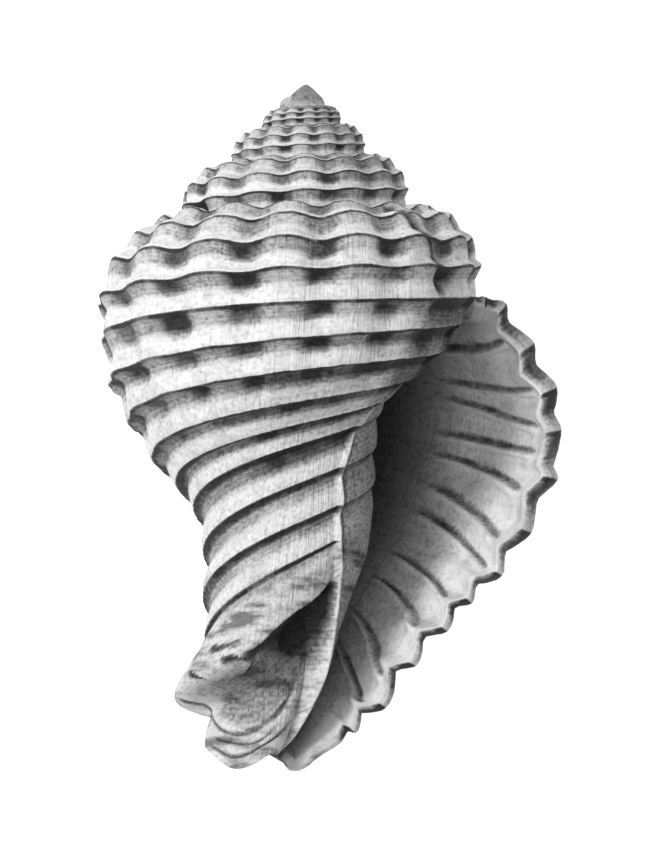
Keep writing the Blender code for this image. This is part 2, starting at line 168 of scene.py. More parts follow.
# Hollow
LIP_EDGE = 0.25
LIP_ROWS = (0, 1, 2, 3, 6, 8, 13, 16, 19)
LIP_TURN = (0.2, 0.5, 0.8, 1.25, 1.25, 0.8, 0.7, 0.4, 0.2)
LIP_TURN_ANGLE = 6
LIP_FLARE = 0.30
LIP_FLARE_ANGLES = (6, 30)
LIP_FLARE_ROWS = ((0, 2), (13, 15))
WALL = 1.2
WALL_FULL = 15  # angle at which the wall has its full thickness
NOTCHED_INSIDE = 40  # angle at which the notches stop showing on the inner face
CANAL_ROWS = (14, 19)  # over which the wall thins
HOLLOW_ANGLES = (0, 1, 2, 3, 4, 5, 6.5, *range(8, 44, 2), 45, 50, 56, 64, 74, 86, 105, 125, 160,
                 195)
FLOOR_ANGLES = (0, 10, 25, 50, 90, 140, 200, 260)
FLOOR_ROWS = (19, 19, 18, 16, 14, 13, 12.5, 12)
FLOOR_FROM_ROW = 9
CANAL_END = (0.3, 48.4)
CANAL_END_SHADE = 0.3
CANAL_END_INSIDE = 0.2
LIP_DARKENS = (33, 68)  # angles over which painted shade deepens in the hollow, on the lip's side
# the same painted shade on the column's side
COLUMN_DARKENS = (3, 50)
LIRA_HIGHLIGHT_SHARE = 0.6  # share of that painted shade that the ridges inside the lip lose, as a painted highlight

# Resting pose
REST_ROLL = 3.0
REST_PITCH = 4.0

# Fine relief, in millimetres on the last whorl
THREADS = ((0.16, 0.035, 0.03), (0.28, 0.035, 0.04), (0.42, 0.035, 0.03), (0.62, 0.05, 0.03),
           (0.84, 0.035, 0.05))
THREAD_END = (700, 1100)  # angles over which the threads fade out
STAGE_WAVES = ((0.93, 0.022), (1.57, 0.018), (2.31, 0.014), (3.73, 0.008))

# Lines drawn on the surface.  For the second crease, the first three scales, the first and
# last furrows and the chink's upper edge, another script looked up the rows and angles at
# points read by eye off the photograph.  The chink's lower edge began that way too, and was
# then changed.
# Creases: depth, width in degrees, rows, and the angle at each of them.  The first is the
# dark oblique scar on the shoulder, the second crosses the hollow below the band.
CREASES = (
    (0.28, 2.2, (1.0, 1.5, 3.15, 4.8, 5.0), (303, 306, 314, 320, 321)),
    (0.12, 2.6, (15.1, 15.5, 16.0, 16.6, 17.1), (183, 180, 180, 183, 188)),
)
# Overlapping growth scales on the siphonal band: height of the lower edge, angles, and the
# row at each of them.
SCALES = (
    (0.16, (220, 228, 236, 244, 252), (14.36, 14.43, 14.50, 14.55, 14.60)),
    (0.60, (234, 241, 248, 255, 262), (14.74, 14.80, 14.88, 15.10, 15.15)),
    (0.40, (203, 215, 224, 230, 235, 241, 251, 260), (14.60, 14.85, 15.10, 15.35, 15.50, 15.58,
                                                      15.42, 15.2)),
    (0.30, (90, 120, 150, 172), (13.75, 13.95, 14.05, 14.20)),
    (0.40, (60, 95, 130, 165), (14.30, 14.45, 14.70, 14.85)),
    (0.30, (20, 45, 70, 85), (13.80, 13.95, 14.10, 14.20)),
)
SCALE_LENGTH = 0.5  # rows over which a scale lifts towards its edge
SCALE_EDGE = 0.13  # rows over which it drops again
# Furrows on the canal's rim: depth, angles, and the row at each of them.
FURROWS = (
    (0.24, (180, 190, 213, 239, 258, 275, 302, 330), (16.9, 17.1, 17.33, 17.15, 17.0, 16.95, 17.0,
                                                      16.6)),
    (0.12, (205, 220, 240, 260, 280, 300), (17.9, 17.95, 17.75, 17.6, 17.42, 17.35)),
    (0.20, (200, 217, 240, 260, 280, 303, 332), (18.6, 18.5, 18.4, 18.2, 17.88, 17.72, 17.62)),
)
FURROW_WIDTH = 0.07
# Dips of the canal's rim: angle, width in degrees, and how far it falls in millimetres.
RIM_DIPS = ((245, 22, 0.50), (293, 22, -0.68))
RIM_DIP_ROWS = (17.5, 19)
# A deep dark chink between the siphonal band and the inner lip: angles, upper and lower rows.
CHINK = ((252, 262, 272, 284, 300, 311, 326), (14.92, 15.0, 14.85, 14.8, 15.0, 15.1, 15.1),
         (15.02, 15.2, 15.45, 15.75, 16.0, 15.95, 15.8))
CHINK_DEPTH = 0.9
CHINK_ANGLES = (250, 257)  # over which it opens
CHINK_TOP = 0.07  # rows over which it deepens at its upper edge, each way
CHINK_BOTTOM = (0.3, 0.5)  # rows over which it ends, above its lower edge and below
# Ridges inside the outer lip: rows at their outer and inner ends.
LIRAE = ((2.8, 3.1), (4.0, 4.0), (5.0, 4.6), (5.6, 5.5), (6.55, 6.1), (7.5, 6.8), (8.2, 7.4),
         (9.45, 8.8), (10.5, 9.9), (11.6, 11.35), (12.5, 12.4))
LIRA_ANGLES = (9, 50)
LIRA_HEIGHT = 0.50
LIRA_WIDTH = 0.07
LIRA_FURROW = 0.3  # depth of the furrow beside each ridge, against its height
CANAL_THINNING = 0.45  # share of the wall that is lost towards the canal's rim
INNER_LINES = 0.45  # spacing of the drawn spiral lines inside, against outside

# How much painted shade each place gets, where 0 is pale and 1 black; an amount below 0 is a
# painted highlight
LINE = 0.75  # painted shadow: a thin dark line below each cord
DEEPER_LINE = 0.25  # added to it between the ribs and on the neck
GREY = 0.10  # painted shade below that line, everywhere
PATCH_GREY = 0.16  # added in patches
VALLEY_GREY = 0.25  # added between the ribs
BASE_GREY = 0.17  # added on the base
SHOULDER_SHARE = 0.6  # share of these greys that the shoulder has
CREST_HIGHLIGHT = 0.10  # painted highlight: how much paler the cords' crests are
RIB_HIGHLIGHT = 0.06  # and the painted highlight on the ribs above the next cord
PIT_SHADE = 0.60  # painted shade: dark blocks in the pits between the ribs
TOWARDS_APERTURE = 0.12  # painted shade on the base, beside the aperture
TOWARDS_APERTURE_GREY = 0.46  # added there below the cords
SHADED_SPIRE = 0.16  # painted shade on the right side of the spire, away from the light
BEVEL = 0.22  # painted shade on the bevel of the outer lip's edge
BEVEL_LINE = 0.55  # added there below the cords
CREASE_SHADE = 0.85
CHINK_SHADE = 1.5
DOME_SHADE = 0.30
COLUMN = 0.24  # painted shade on the column, inside the aperture
COLUMN_LINE = 0.5  # painted shadow lines added there below the cords
COLUMN_TOP = 0.35  # painted shade added at its upper end
RIDGE_HIGHLIGHT = 0.38  # painted highlight: how much paler the inner lip's raised edge is
# painted shade beside that raised edge
BESIDE_RIDGE = 0.3
LIP_INSIDE = (-0.06, 0.13)  # painted highlight near the edge, and the painted shade added further in
LIP_INSIDE_ANGLES = (14, 32)
LIRA_FURROW_SHADE = 0.55
# painted highlight on the ridges inside the outer lip
LIRA_HIGHLIGHT = 0.1

# The rows and angles over which each fades in, then those over which it fades out
NECK_ROWS = (7.5, 9.5)
BASE_ROWS = ((5.9, 7), (10, 11.5))
SHOULDER_ROWS = (2.6, 3.4)
APERTURE_ROWS = ((4.9, 5.1), (10.2, 11.5))
APERTURE_STARTS = ((5, 6.5, 7.5), (302, 288, 222))  # rows, and the angle at each of them
APERTURE_FADE = 48
APERTURE_END = (372, 400)
SHADED_ANGLES = ((268, 296), (330, 352))
SHADED_ROWS = (3, 6)
SHADED_FROM = (360, 500)
PARIETAL_ROWS = ((4.9, 5.1), (8, 9.5))
BEVEL_ANGLES = ((0.3, 1.2), (6, 9))
RIDGE_ROWS = (8, 10.5)
# Places with painted shade as a whole, by how much, and their rows and angles: the wall above
# the aperture, the siphonal band, the concave strip below it, and that beside the inner lip.
BEFORE_LIP = (-1, 0)
PAST_CALLUS = (400, 401)
ZONES = (
    (0.40, PARIETAL_ROWS, ((306, 322), (380, 400))),
    (0.03, ((13, 13.2), (15.3, 15.6)), (BEFORE_LIP, PAST_CALLUS)),
    (0.22, ((15.2, 15.6), (16.75, 16.95)), ((190, 215), (322, 334))),
    (0.65, ((14.9, 15.1), (15.5, 17.3)), ((298, 312), PAST_CALLUS)),
)
# Spans between one cord and the next, as shares of the way down
GREY_SPAN = ((0.02, 0.1), (0.38, 0.62))
BEVEL_SPAN = ((0.03, 0.09), (0.5, 0.8))
COLUMN_SPAN = ((0.0, 0.05), (0.1, 0.3))

# The material's tones: places on a ramp from 0 to 1, and the tone at each of them
SHADES = ((0.0, 0.90), (0.22, 0.55), (0.5, 0.25), (1.0, 0.045))
SPIRAL_TONES = ((0.0, 0.95), (0.8, 0.55))
# INSIDE_TONES give the painted shade deep inside the hollow
INSIDE_TONES = ((0.0, 1.0), (0.5, 0.55), (1.0, 0.18))
RAGGEDNESS = (3.4, 0.22)  # of the painted shade's edges: by its darkness, and everywhere
SPIRAL_LINES_PER_ROW = 8
SPIRAL_DRIFT = 9.0  # how far the strokes push these lines about
ROUGHNESS = (0.62, 0.85)
SPECULAR = 0.3
# Noise: in the shell's growth or its own space, how it is stretched, scale, detail, roughness
NOISES = {
    "lines": ("growth", (1.1, 0.55, 1), 1.0, 5.0, 0.65),
    "strokes": ("growth", (0.25, 9.0, 1), 1.0, 4.0, 0.6),
    "mottle": ("own", None, 420.0, 6.0, 0.62),
    "grain": ("own", None, 3200.0, 3.0, 0.5),
    "dashes": ("own", (260, 900, 260), 1.0, 3.0, 0.5),
}
CRACK_STRETCH = (0.20, 3.0, 1)
CRACK_RANDOMNESS = 0.55
# Bumps, one on top of another: noise, strength, and height in metres
BUMPS = (("grain", 0.25, 0.00012), ("strokes", 0.5, 0.00012), ("lines", 0.7, 0.00025))
# How much of a pattern shows: the mark it goes by, the mark's range, and the share at each end
SPIRALS_SHOW = ("dark", (0.02, 0.25), (0.06, 0.6))
TEXTURE_SHOWS = ("dark", (-0.08, 0.2), (0.15, 0.85))
MOTTLE_SHOWS = ("dark", (0.0, 1.0), (0.55, 0.55))
CRACKS_SHOW = ("row", (8.5, 9.5), (0.0, 0.28))
DASHES_SHOW = ("row", (13.2, 13.6), (0.0, 0.8))
# Patterns that darken the shell, in this order, with their tones
PATTERNS = {
    "lines": (TEXTURE_SHOWS, ((0.30, 0.40), (0.44, 0.90), (0.6, 1.0))),
    "strokes": (TEXTURE_SHOWS, ((0.32, 0.50), (0.45, 0.92), (0.6, 1.0))),
    "mottle": (MOTTLE_SHOWS, ((0.34, 0.45), (0.5, 0.92), (0.62, 1.0))),
    "grain": (TEXTURE_SHOWS, ((0.36, 0.45), (0.5, 0.92), (0.6, 1.0))),
    "cracks": (CRACKS_SHOW, ((0.0, 0.35), (0.05, 0.85), (0.1, 1.0))),
    "dashes": (DASHES_SHOW, ((0.38, 0.10), (0.47, 0.75), (0.54, 1.0))),
}
MARKS = ("dark", "inside", "stage", "row")  # what each vertex carries for the material; the first two set painted shade and highlights

# Mesh.  The columns are closer together on the aperture's side.
COLUMNS_PER_TURN = 228
COLUMN_CROWDING = 0.33
CROWDED_ANGLE = 262
PLAIN_COLUMNS = 9         # the last ones, next to the dome, which have no cords
SUTURE_STEPS = (0, 0.15, 0.35, 0.6, 0.85)
FINE_STEPS = (0, 0.04, 0.09, 0.15, 0.22, 0.31, 0.42, 0.54, 0.66, 0.78, 0.88, 0.95)
MIDDLE_STEPS = (0, 0.07, 0.16, 0.3, 0.5, 0.7, 0.9)
COARSE_STEPS = (0, 0.12, 0.4, 0.8)
BAND_STEPS = tuple(k / 15 for k in range(15))
HOLLOW_STEPS = tuple(k / 8 for k in range(8))
LIP_STEPS = tuple(k / 20 for k in range(20))
DEEP_STEPS = HOLLOW_STEPS
CALLUS_STEPS = (0, 0.05, 0.12, 0.2, 0.3, 0.42, 0.56, 0.7, 0.84, 0.94)
CALLUS_SHARES = (0.02, 0.05, 0.09, 0.14, 0.2, 0.3, 0.42, 0.55, 0.68, 0.8, 0.9)

# Picture.  The photograph's frame is 660 by 862 pixels.
FRAME_HEIGHT_PX = 862
FRAME_WIDTH_PX = 660
MM_PER_PX = 0.0726
APEX_PX = (311, 80)
VIEW_TILT = 4.0  # the eye looks this much towards the tip of the spire
EYE_DISTANCE = 900.0
SENSOR_WIDTH = 36.0
CLIP = (0.01, 20.0)  # metres

# Lights: direction as the picture's right, up and towards the eye, then distance and size in
# metres, and power in watts.
LAMPS = {
    "key": ((-0.62, 0.56, 0.92), 0.45, 0.12, 1.45),
    "fill": ((-0.36, -0.12, 1.0), 0.7, 0.4, 2.1),
}
SKY_STRENGTH = 0.25
FLOOR_HALF_SIZE = 3.0  # metres
FLOOR_GREY = 0.4
FLOOR_ROUGHNESS = 0.95
FLOOR_GLOW = 0.9


def smooth_curve(at, stations, values):
    """Cubic curve through the values, level with their own slopes at each station."""
    stations = np.asarray(stations, float)
    values = np.asarray(values, float)
    slopes = np.gradient(values, stations)
    span = np.clip(np.searchsorted(stations, at, side="right") - 1, 0, len(stations) - 2)
    width = stations[span + 1] - stations[span]
    t = np.clip((at - stations[span]) / width, 0, 1)
    rise = t * t * (3 - 2 * t)
    start = values[span] * (1 - rise) + values[span + 1] * rise
    bow = slopes[span] * t * (1 - t) ** 2 - slopes[span + 1] * t * t * (1 - t)
    return start + bow * width


def cord_track(row, angle, part):
    """Radius (part 0) or depth (part 1) of a cord at an angle back from the lip."""
    stations = [0, 180, 360]
    logs = [math.log(point[part]) for point in CORDS[row - 1][1:4]]
    growth = math.log((TURN_RADIUS, TURN_DEPTH)[part])
    for half_turn in range(1, 14):
        stations.append(360 + 180 * half_turn)
        logs.append(logs[2] - growth * half_turn / 2)
    return np.exp(smooth_curve(angle, stations, logs))


def band_track(row, angle, part):
    """The same for a row of the siphonal band, which ends at the inner lip."""
    points = BAND[row - LAST_CORD - 1][1:6]
    stations = BAND_ANGLES + (CALLUS_ANGLES[row],)
    return smooth_curve(angle, stations, [point[part] for point in points])


def row_track(row, angle, part):
    if row == 0:
        return cord_track(MAIN_KEEL, angle + 360, part)
    if row <= LAST_CORD:
        return cord_track(row, angle, part)
    return band_track(row, angle, part)


def envelope(row, angle):
    """Radius and depth of the smooth surface through the cords' crests."""
    below = np.clip(np.floor(row).astype(int), 0, LAST_ROW - 1)
    t = row - below
    rise = t * t * (3 - 2 * t)
    column = np.arange(len(row))
    places = []
    for part in (0, 1):
        tracks = np.stack([row_track(k, angle, part) for k in range(LAST_ROW + 1)])
        p0 = tracks[np.maximum(below - 1, 0), column]
        p1 = tracks[below, column]
        p2 = tracks[below + 1, column]
        p3 = tracks[np.minimum(below + 2, LAST_ROW), column]
        first = (p2 - p0) / 2
        last = (p3 - p1) / 2
        places.append(p1 * (1 - rise) + p2 * rise
                      + first * t * (1 - t) ** 2 - last * t * t * (1 - t))
    return places[0], places[1]


def outward(row, angle):
    """Unit direction out of the whorl, in its own half-plane."""
    step = 0.05
    r0, d0 = envelope(np.maximum(row - step, 0), angle)
    r1, d1 = envelope(np.minimum(row + step, LAST_ROW), angle)
    length = np.hypot(r1 - r0, d1 - d0) + 1e-9
    return (d1 - d0) / length, -(r1 - r0) / length


def fade(value, full, gone):
    """1 up to full, 0 from gone on, with a smooth change between them."""
    t = np.clip((value - full) / (gone - full), 0, 1)
    return 1 - t * t * (3 - 2 * t)


def window(value, opening, closing):
    """Rises from 0 to 1 over the opening and falls back to 0 over the closing."""
    return (1 - fade(value, *opening)) * fade(value, *closing)


def bump(value, centre, width):
    return np.exp(-((value - centre) / width) ** 2)


def rib_phase(angle):
    count = RIB_PER_DEGREE * angle - RIB_SLOWING * angle ** 2
    at_crest = RIB_PER_DEGREE * RIB_CREST_ANGLE - RIB_SLOWING * RIB_CREST_ANGLE ** 2
    return 2 * math.pi * (count - at_crest)


def rib_strength(row, angle):
    return window(row, *RIB_ROWS) * window(angle, *RIB_ANGLES)


def pit_strength(row, angle):
    """How marked the pit is between two ribs, which differs from pit to pit."""
    table = np.array(PITS)
    interval = np.clip(np.floor(row).astype(int), 0, len(PITS) - 1)
    pit = np.round(rib_phase(angle) / (2 * math.pi) - 0.5)
    # The same for a pit in every run, and unlike its neighbours'.
    chance = (np.sin(pit * 12.99 + interval * 78.23) * 43758.55) % 1
    general = table[interval, 0] * (0.35 + 0.75 * chance)
    entry = (pit + PITS_BEFORE_FRONT + 1).astype(int)
    front = table[interval, np.clip(entry, 1, table.shape[1] - 1)]
    listed = (entry >= 1) & (entry < table.shape[1])
    return np.where(listed, front, general) * (row < len(PITS))


def size_of_whorl(angle):
    return TURN_RADIUS ** (-angle / 360)


def soften(share):
    """0 to 1, level where it starts."""
    return (np.hypot(share, CREST_ROUNDING) - CREST_ROUNDING) / (
        math.hypot(1, CREST_ROUNDING) - CREST_ROUNDING)


def notch(row, angle):
    """Depth of the notch below a cord."""
    interval = np.clip(np.floor(row).astype(int), 0, len(NOTCHES) - 1)
    t = row - interval
    table = np.array(NOTCHES)[interval]
    near_lip = fade(angle, NOTCH_LIP_END, NOTCH_BACK_START)
    corner = table[:, 2] + (table[:, 0] - table[:, 2]) * near_lip
    deepest = table[:, 3] + (table[:, 1] - table[:, 3]) * near_lip
    underside = soften(t / corner)
    wall = soften(np.clip((1 - t) / (1 - corner), 0, None)) ** table[:, 4]
    share = (underside + wall - np.hypot(underside - wall, CORNER_ROUNDING)) / 2
    share = np.where(row < LAST_CORD + 1, share, 0) * fade(angle, *NOTCH_END)
    return share * deepest


def line_row(line, angle):
    """Row of a drawn line at an angle, and 1 between its ends, 0 beyond them."""
    angles, rows = line
    ends = (1 - fade(angle, angles[0], angles[1])) * fade(angle, angles[-2], angles[-1])
    return smooth_curve(angle, angles, rows), ends


def fine_relief(row, angle):
    """Threads between the cords and growth lines across them, in millimetres."""
    t = row - np.floor(row)
    height = sum(rise * bump(t, at, width) for at, width, rise in THREADS)
    height = height * fade(row, LAST_CORD, LAST_CORD + 0.5) * fade(angle, *THREAD_END)
    drift = 3 * np.sin(row * 0.7) + row
    for pitch, rise in STAGE_WAVES:
        height = height + rise * np.sin((angle + drift) * pitch + 2.3 * np.sin(row * pitch))
    return height


def drawn_relief(row, angle):
    """Height of the creases, scales and furrows, and the painted shade in them and below the
    scales.
    """
    height = np.zeros(len(row))
    dark = np.zeros(len(row))
    for depth, width, rows, angles in CREASES:
        ends = (1 - fade(row, rows[0], rows[1])) * fade(row, rows[-2], rows[-1])
        crease = bump(angle, smooth_curve(row, rows, angles), width) * ends
        height = height - depth * crease
        dark = np.maximum(dark, CREASE_SHADE * crease)
    for rise, *line in SCALES:
        at, ends = line_row(line, angle)
        below = row - at
        lifted = np.clip(1 + below / SCALE_LENGTH, 0, 1) ** 1.5 * fade(below, 0, SCALE_EDGE)
        height = height + rise * ends * lifted
        # Painted shadow below each scale's lower edge
        under = (1 - fade(below, 0, 0.04)) * fade(below, 0.06 + 0.1 * rise, 0.1 + 0.25 * rise)
        dark = np.maximum(dark, min(1, 0.6 + rise) * ends * under)
    for depth, *line in FURROWS:
        at, ends = line_row(line, angle)
        furrow = bump(row, at, FURROW_WIDTH) * ends
        height = height - depth * furrow
        dark = np.maximum(dark, (0.25 + 1.2 * depth) * furrow)
    return height, dark


def chink(row, angle):
    """1 in the chink between the siphonal band and the inner lip, 0 outside it."""
    angles, upper, lower = CHINK
    top = smooth_curve(angle, angles, upper)
    bottom = smooth_curve(angle, angles, lower)
    above, below = CHINK_BOTTOM
    inside = window(row, (top - CHINK_TOP, top + CHINK_TOP), (bottom - above, bottom + below))
    return inside * (1 - fade(angle, *CHINK_ANGLES))


def on_cords(row):
    """1 on the rows that have cords, 0 on the siphonal band below them."""
    return fade(row, LAST_CORD, LAST_CORD + 0.9)


def below_crest(row):
    """1 in the upper part of the interval below each cord."""
    return window(row - np.floor(row), *GREY_SPAN)


def patches(row, angle):
    """0 to 1, in broad patches that differ from cord to cord."""
    cord = np.floor(row)
    return 0.5 + 0.5 * np.sin(0.11 * angle + 2.4 * cord) * np.sin(0.047 * angle + 1.3 * cord)


def line_darkness(row, valley):
    """Painted shadow: the thin dark line below each cord, which is broader on the neck."""
    t = row - np.floor(row)
    neck = (1 - fade(row, *NECK_ROWS)) * on_cords(row)
    line = window(t, (0.0, 0.03), (0.06 + 0.04 * neck, 0.16 + 0.06 * neck))
    return line * (LINE + DEEPER_LINE * np.maximum(neck, valley))


def grey_darkness(row, angle, valley):
    """Painted shade below that line, patchy, and darker between the ribs and on the base."""
    base = window(row, *BASE_ROWS)
    grey = GREY + PATCH_GREY * patches(row, angle) + VALLEY_GREY * valley + BASE_GREY * base
    share = SHOULDER_SHARE + (1 - SHOULDER_SHARE) * (1 - fade(row, *SHOULDER_ROWS))
    return below_crest(row) * grey * share


def painted_highlights(row, valley):
    """Painted highlights on the cords' crests, and on the ribs above the next cord."""
    t = row - np.floor(row)
    crest = fade(t, 0.0, 0.03) + 1 - fade(t, 0.88, 0.95)
    return CREST_HIGHLIGHT * crest + RIB_HIGHLIGHT * (1 - valley) * (1 - fade(t, 0.5, 0.65))


def pit_darkness(row, angle, strength, valley):
    """Painted shade: a dark block with uneven edges in each pit."""
    patchy = patches(row, angle)
    uneven = 0.5 + 0.5 * np.sin(0.71 * angle + 5 * row) * np.sin(0.37 * angle - 8 * row)
    block = (1 - fade(valley, 0.12 + 0.15 * uneven, 0.78)) * window(
        row - np.floor(row), (0.02, 0.08),
        (0.26 + 0.12 * patchy, 0.60 + 0.14 * patchy + 0.12 * uneven))
    return PIT_SHADE * block * np.minimum(1, 1.3 * strength)


def right_side_darkness(row, angle):
    """Painted shade on the base towards the aperture, and on the spire's right side."""
    start = np.interp(row, *APERTURE_STARTS)
    near = window(angle, (start, start + APERTURE_FADE), APERTURE_END) * window(row, *APERTURE_ROWS)
    shaded = window(angle % 360, *SHADED_ANGLES) * fade(row, *SHADED_ROWS)
    dark = near * (TOWARDS_APERTURE + TOWARDS_APERTURE_GREY * below_crest(row))
    return dark + SHADED_SPIRE * shaded * (1 - fade(angle, *SHADED_FROM))


def zone_darkness(row, angle):
    # Painted shade over the places in ZONES.
    return sum(shade * window(row, *rows) * window(angle, *angles)
               for shade, rows, angles in ZONES)


def bevel_darkness(row, angle):
    """Painted shade on the bevel of the outer lip's edge, darkest below each cord."""
    bevel = window(angle, *BEVEL_ANGLES) * on_cords(row)
    return bevel * (BEVEL + BEVEL_LINE * window(row - np.floor(row), *BEVEL_SPAN))


def outer_darkness(row, angle, strength, valley):
    """How much painted shade the outer surface gets, less the painted highlights."""
    dark = line_darkness(row, valley) + grey_darkness(row, angle, valley) - painted_highlights(row, valley)
    dark = dark * on_cords(row) + pit_darkness(row, angle, strength, valley)
    dark = dark + right_side_darkness(row, angle) + zone_darkness(row, angle)
    return dark + bevel_darkness(row, angle)


def lip_flare(row, angle):
    """How far the lip spreads outwards behind its edge."""
    return LIP_FLARE * fade(angle, *LIP_FLARE_ANGLES) * window(row, *LIP_FLARE_ROWS)


def rim_dip(row, angle):
    dip = sum(fall * bump(angle, at, width) for at, width, fall in RIM_DIPS)
    return dip * (1 - fade(row, *RIM_DIP_ROWS))


def outer_point(row, angle):
    """Radius, depth and painted shade of the sculptured outer surface."""
    r, d = envelope(row, angle)
    out_r, out_d = outward(row, angle)
    size = size_of_whorl(angle)
    rib = rib_strength(row, angle)
    between = (1 - np.cos(rib_phase(angle))) / 2
    valley = between ** PIT_SHARPNESS * rib
    strength = pit_strength(row, angle)
    pit = valley * window(row - np.floor(row), *PIT_SPAN) * strength
    drawn, drawn_dark = drawn_relief(row, angle)
    deep = chink(row, angle)
    depth = notch(row, angle) * (1 - fade(row, 0, 0.8)) * size
    depth = depth + RIB_HEIGHT * r * (RIB_ON_CREST * valley + (RIB_IN_PIT - RIB_ON_CREST) * pit)
    depth = depth + lip_turn(row) * (1 - np.clip(angle / LIP_TURN_ANGLE, 0, 1)) ** 2
    depth = depth - lip_flare(row, angle)
    depth = depth - fine_relief(row, angle) * size - drawn + CHINK_DEPTH * deep
    sag = np.interp(row, WAVE_ROWS, WAVES) * size * rib * between
    dark = np.maximum(outer_darkness(row, angle, strength, valley), drawn_dark)
    drop = sag + rim_dip(row, angle)
    return r - depth * out_r, d - depth * out_d + drop, dark + CHINK_SHADE * deep


def lip_turn(row):
    """How far the lip's edge is turned in from the whorl's full width."""
    return np.interp(row, LIP_ROWS, LIP_TURN)


def callus_angle(row):
    rows = sorted(CALLUS_ANGLES)
    return np.interp(row, [MAIN_KEEL] + rows, [360] + [CALLUS_ANGLES[k] for k in rows])


def stage_of_column(column):
    """Angle of a column before it is drawn back for the callus."""
    even = column * 360 / COLUMNS_PER_TURN
    crowd = math.radians(1) * (even - CROWDED_ANGLE)
    start = math.radians(1) * (0 - CROWDED_ANGLE)
    return even - np.degrees(COLUMN_CROWDING * (np.sin(crowd) - math.sin(start)))


def column_angle(row, column):
    """Angle of a column, drawn back near the inner lip to end where the callus starts."""
    angle = stage_of_column(column)
    squeezed = CALLUS_BEND + (angle - CALLUS_BEND) * (callus_angle(row) - CALLUS_BEND) / (
        360 - CALLUS_BEND)
    inside = (angle > CALLUS_BEND) & (angle <= 360) & (row > MAIN_KEEL)
    return np.where(inside, squeezed, angle)


def column_track(row, angle):
    """Radius and depth of the smooth column, from the inner lip's edge to its right side."""
    edge = callus_angle(row)
    share = np.clip((angle - edge) / (360 - edge + 1e-6), 0, 1)
    outer = envelope(np.minimum(row, LAST_CORD), np.minimum(angle, 360))
    last_cord = np.array([float(LAST_CORD)])
    start = envelope(last_cord, np.array([float(CALLUS_ANGLES[LAST_CORD])]))
    finish = envelope(last_cord, np.array([360.0]))
    band_rows = range(LAST_CORD, LAST_ROW + 1)
    track = []
    for part in (0, 1):
        edge_places = [start[part][0]] + [line[6][part] for line in BAND]
        right_places = [finish[part][0]] + [line[7][part] for line in BAND]
        at_edge = smooth_curve(row, band_rows, edge_places)
        at_right = smooth_curve(row, band_rows, right_places)
        band = at_edge * (1 - share) + at_right * share
        track.append(np.where(row > LAST_CORD, band, outer[part]))
    return track


def column_point(row, angle):
    """Radius, depth and painted shade of the callused column, from the inner lip's edge inwards."""
    r, d = column_track(row, angle)
    ridge_at = callus_angle(row) + RIDGE_AT
    free_edge = 1 - fade(row, *RIDGE_ROWS)
    ridge = bump(angle, ridge_at, RIDGE_WIDTH) * free_edge
    beside = bump(angle, ridge_at + 2 * RIDGE_WIDTH, RIDGE_WIDTH) * free_edge
    cords = fade(row, LAST_CORD - 0.2, LAST_CORD) * fade(angle, 366, 392)
    lift = CALLUS_LIFT * window(row, *CALLUS_LIFT_ROWS)
    lift = lift - CALLUS_SHOWS * notch(row, angle) * cords * size_of_whorl(angle)
    lift = lift + RIDGE_HEIGHT * ridge
    line = window(row - np.floor(row), *COLUMN_SPAN) * cords
    # Painted shade, with painted shadow lines below the cords, a painted highlight on the raised
    # edge and painted shade beside it.
    dark = COLUMN + COLUMN_LINE * line - RIDGE_HIGHLIGHT * ridge + BESIDE_RIDGE * beside
    dark = dark + COLUMN_TOP * window(row, *PARIETAL_ROWS)
    turns_in = np.maximum(angle - 360, 0) / 360
    return (r + lift) * TURN_RADIUS ** -turns_in, d * TURN_DEPTH ** -turns_in, dark


def floor_row(row, angle):
    """Row on the outer lip's inner face, drawn up from the canal further inside."""
    lowest = np.interp(angle, FLOOR_ANGLES, FLOOR_ROWS)
    share = (lowest - FLOOR_FROM_ROW) / (LAST_ROW - FLOOR_FROM_ROW)
    return np.where(row > FLOOR_FROM_ROW, FLOOR_FROM_ROW + (row - FLOOR_FROM_ROW) * share, row)


def lip_thickness(row, angle, r):
    """How far the smooth inner face lies below the whorl's outer surface."""
    thick = WALL + (lip_turn(row) + LIP_EDGE - WALL) * fade(angle, 0, WALL_FULL)
    thick = thick + RIB_HEIGHT * r * rib_strength(row, angle)
    thick = thick + notch(row, angle) * fade(angle, 0, NOTCHED_INSIDE)
    thick = thick * (1 - CANAL_THINNING * (1 - fade(row, *CANAL_ROWS)))
    return thick - lip_flare(row, angle)


def lirae(row, angle):
    """1 on the ridges inside the lip, and 1 in the furrows beside them."""
    start, end = LIRA_ANGLES
    along = window(angle, (start - 5, start + 1), (end - 12, end + 3))
    ridges = np.zeros(len(row))
    furrows = np.zeros(len(row))
    for outer_row, inner_row in LIRAE:
        at = outer_row + (inner_row - outer_row) * (angle - start) / (end - start)
        ridges = ridges + bump(row, at, LIRA_WIDTH) * along
        furrows = furrows + bump(row, at - 2.0 * LIRA_WIDTH, LIRA_WIDTH) * along
    return ridges, furrows


def inner_point(row, angle):
    """Radius, depth and painted shade of the outer lip's inner face, and where its ridges get a
    painted highlight.
    """
    ridges, furrows = lirae(row, angle)
    row = floor_row(row, angle)
    r, d = envelope(row, angle)
    out_r, out_d = outward(row, angle)
    thick = lip_thickness(row, angle, r) + LIRA_HEIGHT * (ridges - LIRA_FURROW * furrows)
    # Painted highlight near the lip's edge, painted shade further in and in the furrows, and paler
    # ridges.
    at_edge, further_in = LIP_INSIDE
    dark = at_edge + further_in * (1 - fade(angle, *LIP_INSIDE_ANGLES))
    dark = dark + LIRA_FURROW_SHADE * furrows - LIRA_HIGHLIGHT * ridges
    return r - thick * out_r, d - thick * out_d, np.clip(dark, -0.1, 1), np.clip(ridges, 0, 1)


